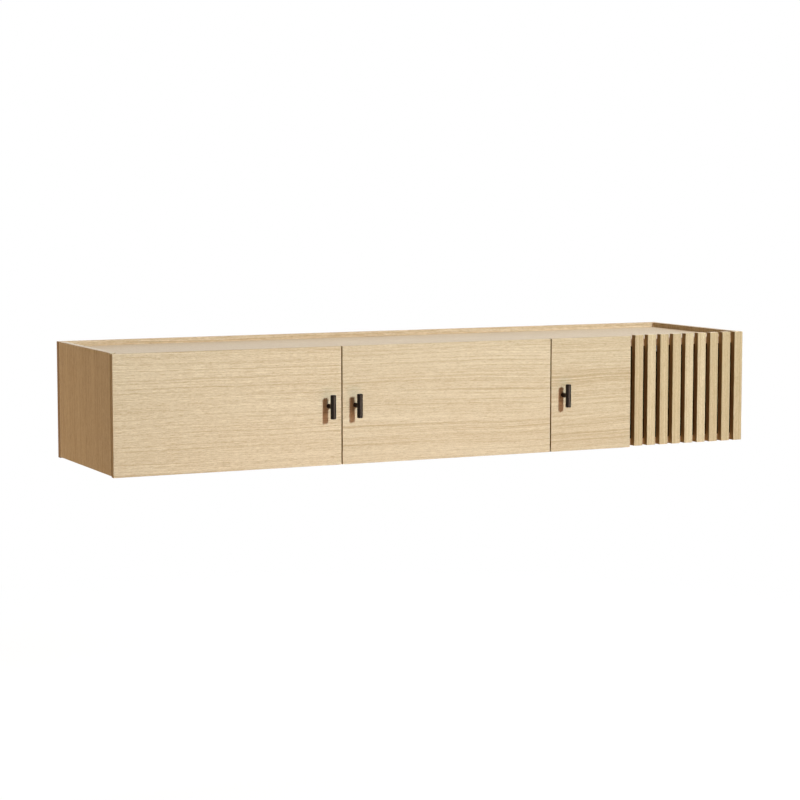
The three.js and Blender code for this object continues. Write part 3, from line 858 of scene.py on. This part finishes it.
def hinge_cup(name, pin, hand, floor, rim, clip, half):
    """A pressed cup with a clipped flange and two wings, and the ears that hold the pin.
    The last four values are measured from the pin: the cup's floor and rim, the flange's
    clipped edge and half the wings' length."""
    floor, rim, clip = pin[Y] + floor, pin[Y] + rim, pin[X] + clip
    seat = rim - FLANGE_THICK
    outer = BORE_RADIUS - SEAT
    middle = np.array((pin[X] + hand * (BORE_RADIUS - PIVOT_INSET), 0, pin[Z]))
    shell = turned_shape(name, cup_profile(floor, seat, rim), middle, Y)
    wing_x = (middle[X], middle[X] + hand * WING_WIDTH)
    wing_z = (pin[Z] - half, pin[Z] + half)
    wing = span_board("wing", wing_x, (seat + SINK, rim - SINK), wing_z, PRESSED_ARRIS)
    past = (seat - CUT_OVERRUN, rim + CUT_OVERRUN)
    cut(wing, round_cutter(BORE_RADIUS + FLANGE_RIM / 2, *past, middle, Y))
    join(shell, wing)
    ear_x = (pin[X] - hand * PIVOT_INSET, pin[X] + hand * EAR_REACH)
    foot = floor + CUP_WALL / 2
    for side in (-1, 1):
        ear_z = (pin[Z] + side * EAR_START, pin[Z] + side * (EAR_START + EAR_LENGTH))
        ear = span_board("ear", ear_x, (foot, pin[Y] + EAR_LIFT), ear_z, PRESSED_ARRIS)
        combine(ear, round_cutter(outer - CUP_WALL / 2, floor, rim, middle, Y), "INTERSECT")
        join(shell, ear)
    reach = EAR_START + EAR_LENGTH - 4 * SINK
    bore = (pin[Z] - reach, pin[Z] + reach)
    cut(shell, round_cutter(PIN_HOLE_RADIUS, *bore, (pin[X], pin[Y], 0), Z))
    window_x = (pin[X] - hand * 2 * PIVOT_INSET, pin[X] + hand * (EAR_REACH - 2 * SINK))
    window_z = (pin[Z] - EAR_START + SINK, pin[Z] + EAR_START - SINK)
    through = (floor - CUT_OVERRUN, rim + CUT_OVERRUN)
    cut(shell, span_board("window", window_x, through, window_z, WINDOW_ARRIS))
    clip_x = (clip - hand * 2 * CUT_OVERRUN, clip)
    clip_z = (wing_z[0] - CUT_OVERRUN, wing_z[1] + CUT_OVERRUN)
    cut(shell, span_board("clip", clip_x, past, clip_z, WINDOW_ARRIS))
    return shell


def hinge_pin(name, pin, radius, half):
    """The hinge's pin, a rod with rounded ends."""
    ends = [rounded_end(radius, pin[Z] + way * half, PIN_ROUND, way) for way in (-1, 1)]
    return turned_shape(name, [*ends[0][::-1], *ends[1]], (pin[X], pin[Y], 0), Z, PIN_SIDES)


def dress_hinge_cup(hinge, door, metal, zinc):
    """The cup, its pin and the two screws that hold it in the door."""
    pin, hand = hinge_frame(hinge)
    low, high = corners_of(hinge + "_cup")
    clip = low[X] if hand > 0 else high[X]
    from_pin = np.round([low[Y] - pin[Y], high[Y] - pin[Y], clip - pin[X], high[Z] - pin[Z]], 6)
    shell = shared_shape(hinge + "_cup_shell", pin, hinge_cup, hand, *from_pin)
    settle(shell, hinge + "_cup", metal)
    pin_low, pin_high = corners_of(hinge + "_pin")
    size = np.round((pin_high - pin_low) / 2, 6)
    rod = shared_shape(hinge + "_pin_rod", pin, hinge_pin, size[X], size[Z])
    settle(rod, hinge + "_pin", zinc)
    for index, side in enumerate((-1, 1)):
        wing = pin[X] + hand * (BORE_RADIUS - PIVOT_INSET + WING_WIDTH / 2)
        place = np.array((wing, high[Y], pin[Z] + side * WING_SCREW_PITCH / 2))
        name = f"{hinge}_cup_screw_{index + 1}"
        add_screw(name, place, Y, 1, *CUP_SCREW_HEAD, door, zinc, "zinc_steel")


def dress_hanger(side, metal):
    """The hanger's housing with its hook, and the two screws that adjust it."""
    low, high = corners_of(side + "_hanger")
    middle = (low + high) / 2
    back = low[Y] + HANGER_DEPTH
    spans = (low[X], high[X]), (low[Y], back), (low[Z], high[Z])
    housing = span_board(side + "_hanger_housing", *spans, HANGER_ARRIS)
    hook_x = (middle[X] - HOOK_HALF, middle[X] + HOOK_HALF)
    top = high[Z] - HOOK_FROM_TOP
    hook_y = (back - CUT_OVERRUN, high[Y])
    hook_z = (top - HOOK_THICK, top)
    join(housing, span_board("hook", hook_x, hook_y, hook_z, BAND_ARRIS))
    lip_y = (high[Y] - HOOK_LIP, high[Y])
    lip_z = (top - HOOK_THICK - HOOK_DROP, top)
    join(housing, span_board("lip", hook_x, lip_y, lip_z, BAND_ARRIS))
    soft_shading(housing)
    settle(housing, side + "_hanger", metal)
    for index, rise in enumerate(HANGER_SCREW_RISES):
        place = np.array((middle[X], low[Y], low[Z] + rise * (high - low)[Z]))
        name = f"{side}_hanger_screw_{index + 1}"
        screw = (Y, -1, *HANGER_SCREW_HEAD)
        add_screw(name, place, *screw, "carcass", metal, "zinc_steel")


def dress_wall_plate(side, metal):
    """The wall plate, one band with a double bend between the part that the hook hangs
    on and the part that is screwed to the wall."""
    low, high = corners_of(side + "_wall_plate")
    middle = (low + high)[X] / 2
    front, rear = low[Y] + RAIL_THICK / 2, high[Y] - RAIL_THICK / 2
    step = high[Z] - RAIL_UPPER - RAIL_THICK / 2
    down, back = (0, 0, -1), (0, 1, 0)
    radius = (rear - front) / 2
    first = bend((middle, front, step), down, back, radius)
    second = bend((middle, rear, step), back, down, radius)
    upper, lower = np.array([(middle, front, high[Z]), (middle, rear, low[Z])])
    path = [upper, *first, *second[1:], lower]
    plate = band_shape(side + "_plate_band", path, X, RAIL_THICK, (high - low)[X])
    hole_z = (low[Z] + step - RAIL_THICK / 2) / 2
    for way in (-1, 1):
        centre = (middle + way * RAIL_HOLE_PITCH / 2, 0, hole_z)
        bore = (low[Y] - CUT_OVERRUN, high[Y] + CUT_OVERRUN)
        cut(plate, round_cutter(RAIL_HOLE_RADIUS, *bore, centre, Y))
    soft_shading(plate)
    settle(plate, side + "_wall_plate", metal)


def dress_knob(door, coating, zinc):
    """The bar and its stem, turned with softly rounded ends, and the screw from inside."""
    low, high = corners_of(door + "_knob_bar")
    middle = (low + high) / 2
    radius = (high - low)[X] / 2
    top = rounded_end(radius, high[Z], BAR_ROUND, 1)
    bottom = rounded_end(radius, low[Z], BAR_ROUND, -1)
    centre = (middle[X], middle[Y], 0)
    bar = turned_shape(door + "_bar", [*bottom[::-1], *top], centre, Z)
    soft_shading(bar)
    settle(bar, door + "_knob_bar", coating)
    stem_low, stem_high = corners_of(door + "_knob_stem")
    centre = (stem_low + stem_high) / 2 * (1, 0, 1)
    radius = (stem_high - stem_low)[X] / 2
    root = rounded_end(radius, stem_high[Y], STEM_ROUND, 1)
    profile = [(0, middle[Y]), (radius, middle[Y]), *root]
    stem = turned_shape(door + "_stem", profile, centre, Y)
    soft_shading(stem)
    settle(stem, door + "_knob_stem", coating)
    low, high = corners_of(door + "_knob_screw")
    centre = (low + high) / 2 * (1, 0, 1)
    start = high[Y] - KNOB_SCREW_HEAD_HEIGHT
    head = domed_head((high - low)[X] / 2, start, KNOB_SCREW_HEAD_HEIGHT, 1)
    shank = [(0, low[Y]), (KNOB_SCREW_RADIUS, low[Y]), (KNOB_SCREW_RADIUS, start)]
    screw = turned_shape(door + "_screw", [*shank, *head[1:]], centre, Y, SMALL_SIDES)
    drive_recess(screw, centre + (0, high[Y], 0), Y, KNOB_SCREW_DRIVE)
    soft_shading(screw)
    settle(screw, door + "_knob_screw", zinc)


def dress_grommet(bay, plastic):
    """A turned ring with a rounded lip round the cable hole."""
    low, high = corners_of(f"cable_grommet_{bay}")
    middle = (low + high) / 2
    lip = (high - low)[X] / 2
    inner = GROMMET_RADIUS - GROMMET_WALL
    lip_back = low[Y] + GROMMET_LIP
    t = np.linspace(0, math.pi / 2, 7)
    rise = low[Y] + GROMMET_ROUND * (1 - np.cos(t))
    shoulder = zip(lip - GROMMET_ROUND * (1 - np.sin(t)), rise)
    fall = low[Y] + GROMMET_ROUND * (1 - np.sin(t))
    throat = zip(inner + GROMMET_ROUND * (1 - np.cos(t)), fall)
    rear = [(GROMMET_RADIUS, lip_back), (GROMMET_RADIUS, high[Y]), (inner, high[Y])]
    profile = [(inner, high[Y]), *throat, *shoulder, (lip, lip_back), *rear]
    ring = turned_shape(f"grommet_ring_{bay}", profile, (middle[X], 0, middle[Z]), Y)
    soft_shading(ring)
    settle(ring, f"cable_grommet_{bay}", plastic)


def dress_console():
    """Every piece of the console. A board's tones are those of its faces that look along
    X, Y and Z."""
    front = oak("oak_fronts", 0.55, 0.15)
    tray = oak("oak_tray", 0.4, 0.4)
    calm = oak("oak_calm", 0.55, 0.15, 0.68)
    slat = oak("oak_slats", 0.55, 0.15, 0.6, (1.0, 0.98, 0.91))
    warm = oak("oak_back", 0.55, 0.15, 1.08, (1.05, 0.98, 0.98))
    amber = oak("oak_left_door", 0.55, 0.15, 1.08, (1.0, 0.985, 0.97))
    coating = black_coating()
    plastic = moulded_black()
    nickel = plated("nickel_plate", NICKEL, 0.28)
    zinc = plated("zinc_plate", ZINC, 0.36)
    boards = {
        "left_side_panel": (Z, (0.78, 0.7, 1.0), front),
        "right_side_panel": (Z, (0.5, 0.7, 1.0), front),
        "top_panel": (X, (0.78, 0.78, 0.78), tray),
        "bottom_panel": (X, (0.78, 0.78, 0.78), front),
        "back_panel": (X, (0.0, 0.69, 0.8), warm),
        "divider_1": (Z, (0.7, 0.5, 0.7), front),
        "divider_2": (Z, (0.7, 0.5, 0.7), front),
        "hinge_stile": (Z, (0.7, 0.5, 0.7), front),
    }
    for number, (node, (grain_axis, tones, veneer)) in enumerate(boards.items(), 1):
        cutters = back_cutters() if node == "back_panel" else ()
        dress_board(node, grain_axis, number, tones, veneer, cutters=cutters)
    slat_tones = (0.6, 0.733, 0.578, 0.615, 0.84, 0.785, 0.575, 0.585, 0.7)
    for index, tone in enumerate(slat_tones):
        # The slats' sides take a low tone, partly painted shade of the narrow gaps between the
        # slats
        dress_board(f"slat_{index + 1}", Z, 10 + index, (0.12, tone, 1.0), slat, SLAT_ARRIS)
    # The doors' edges that look along X take low tones, partly painted shade of the joints
    # between the doors
    doors = {
        "left_door": ((0.25, 0.83, 0.7), amber),
        "middle_door": ((0.0, 0.8, 0.7), calm),
        "right_door": ((0.0, 0.72, 0.7), calm),
    }
    for number, (door, (tones, veneer)) in enumerate(doors.items(), 30):
        dress_board(door + "_panel", X, number, tones, veneer, cutters=door_cutters(door))
        dress_knob(door, coating, zinc)
        for place in ("lower", "upper"):
            hinge = f"{door}_{place}_hinge"
            dress_hinge_arm(hinge, nickel)
            dress_hinge_plate(hinge, nickel)
            dress_hinge_cup(hinge, door, nickel, zinc)
    for side in ("left", "right"):
        dress_hanger(side, zinc)
        dress_wall_plate(side, zinc)
    for bay in (1, 2, 3):
        dress_grommet(bay, plastic)


def set_camera():
    data = bpy.data.cameras.new("photograph_camera")
    data.sensor_width = CAMERA_SENSOR
    data.lens = CAMERA_LENS
    data.clip_end = CAMERA_REACH
    camera = bpy.data.objects.new("photograph_camera", data)
    camera.location = CAMERA_PLACE
    camera.rotation_euler = (math.radians(90 - CAMERA_PITCH), 0, math.radians(-CAMERA_YAW))
    bpy.context.scene.collection.objects.link(camera)
    bpy.context.scene.camera = camera


def set_lamps():
    """Soft oval lamps. Each one's light is given as the colour that it lends to a white
    card which faces it at the console's middle. The glint lights only gloss."""
    target = Vector(LAMP_TARGET)
    for name, (place, size, share) in LAMPS.items():
        data = bpy.data.lights.new(name, "AREA")
        data.shape = "ELLIPSE"
        data.size, data.size_y = size
        reach = (Vector(place) - target).length
        data.energy = max(share) * (math.pi * reach) ** 2
        data.color = np.array(share) / max(share)
        lamp = bpy.data.objects.new(name, data)
        lamp.location = place
        lamp.rotation_euler = (Vector(place) - target).to_track_quat("Z", "Y").to_euler()
        lamp.visible_camera = False
        lamp.visible_glossy = name == "glint"
        lamp.visible_diffuse = name != "glint"
        bpy.context.scene.collection.objects.link(lamp)


def seen_straight(finish):
    """1 for camera, gloss and transmission rays, and 0 for the others."""
    path = finish.add("ShaderNodeLightPath", None, None, "Is Camera Ray")
    seen = path.math("MAXIMUM", path, path.out("Is Glossy Ray"))
    return seen.math("MAXIMUM", seen, path.out("Is Transmission Ray"))


def set_world():
    """A plain soft sky, white where it is seen straight, in gloss or through glass."""
    world = bpy.data.worlds.new("studio")
    bpy.context.scene.world = world
    finish = Finish(world)
    sky = finish.add("ShaderNodeBackground", None, {"Color": (*AMBIENT, 1.0), "Strength": 1.0})
    white = finish.add("ShaderNodeBackground", None, {"Color": WHITE, "Strength": 1.0})
    both = finish.add("ShaderNodeMixShader", None, {0: seen_straight(finish), 1: sky, 2: white})
    finish.feed(finish.tree.nodes["World Output"].inputs["Surface"], both)


def set_floor():
    """A pale floor below the console. Seen straight it is white, less a faint shadow."""
    finish = material("pale_floor")
    finish.surface(Base_Color=FLOOR_COLOUR, Roughness=0.9)
    shader = Term(finish, finish.tree.nodes["Principled BSDF"].outputs[0])
    rest = {"Color": WHITE, "Strength": 1 - FLOOR_SHADE * FLOOR_LIGHT}
    glow = finish.add("ShaderNodeEmission", None, rest)
    shade = finish.add("ShaderNodeBsdfDiffuse", None, {0: (*[FLOOR_SHADE] * 3, 1.0)})
    lit = finish.add("ShaderNodeAddShader", None, {0: glow, 1: shade})
    white = finish.add("ShaderNodeEmission", None, {"Color": WHITE, "Strength": 1.0})
    place = finish.add("ShaderNodeTexCoord", None, None, "Object")
    reach = finish.add("ShaderNodeVectorMath", {"operation": "LENGTH"}, {0: place}, "Value")
    far = reach.between(*SHADE_REACH)
    pale = finish.add("ShaderNodeMixShader", None, {0: far, 1: lit, 2: white})
    both = finish.add("ShaderNodeMixShader", None, {0: seen_straight(finish), 1: shader, 2: pale})
    finish.feed(finish.tree.nodes["Material Output"].inputs["Surface"], both)
    span = np.array([-FLOOR_HALF, FLOOR_HALF])
    x, y = np.meshgrid(span, span)
    points = np.stack([x, y, np.full_like(x, FLOOR_Z)], -1).reshape(-1, 3)
    mesh = bpy.data.meshes.new("floor")
    mesh.from_pydata(points.tolist(), [], [(0, 1, 3, 2)])
    mesh.materials.append(finish.owner)
    floor = bpy.data.objects.new("floor", mesh)
    bpy.context.scene.collection.objects.link(floor)


set_camera()
set_lamps()
set_world()
set_floor()
dress_console()

bpy.context.scene.view_settings.view_transform = "Standard"
